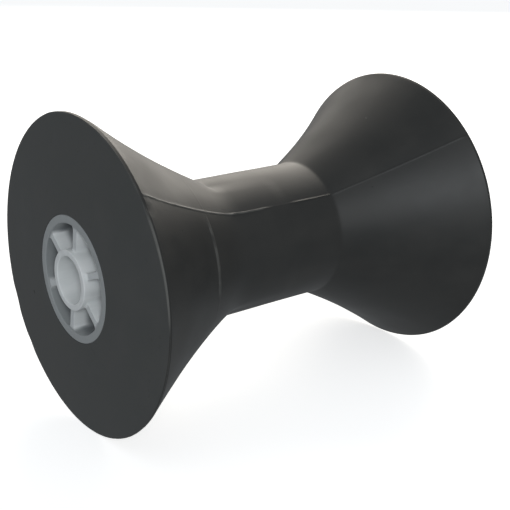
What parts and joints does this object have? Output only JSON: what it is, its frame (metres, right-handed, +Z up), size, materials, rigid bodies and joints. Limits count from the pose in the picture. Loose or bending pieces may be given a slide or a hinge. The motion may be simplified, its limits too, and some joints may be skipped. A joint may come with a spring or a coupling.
{
  "type": "bow roller",
  "caption": "Hourglass rubber roller on a ribbed nylon core; turns on a plain axle and guides a boat's bow or keel onto a trailer.",
  "frame": {"origin": "middle of the axle bore, which is the middle of the roller", "axes": "+Y along the axle from the left end to the right end, +Z up, +X to the front; the roller turns about Y"},
  "size_m": [0.095, 0.13, 0.095],
  "materials": {
    "rubber": "satin as moulded, charcoal black, with a fine parting-line flash",
    "nylon": "light grey injection-moulded nylon, semi-matt"
  },
  "bodies": {
    "root": {"rubber_body": "rubber", "left_core_half": "nylon", "right_core_half": "nylon"}
  },
  "joints": []
}
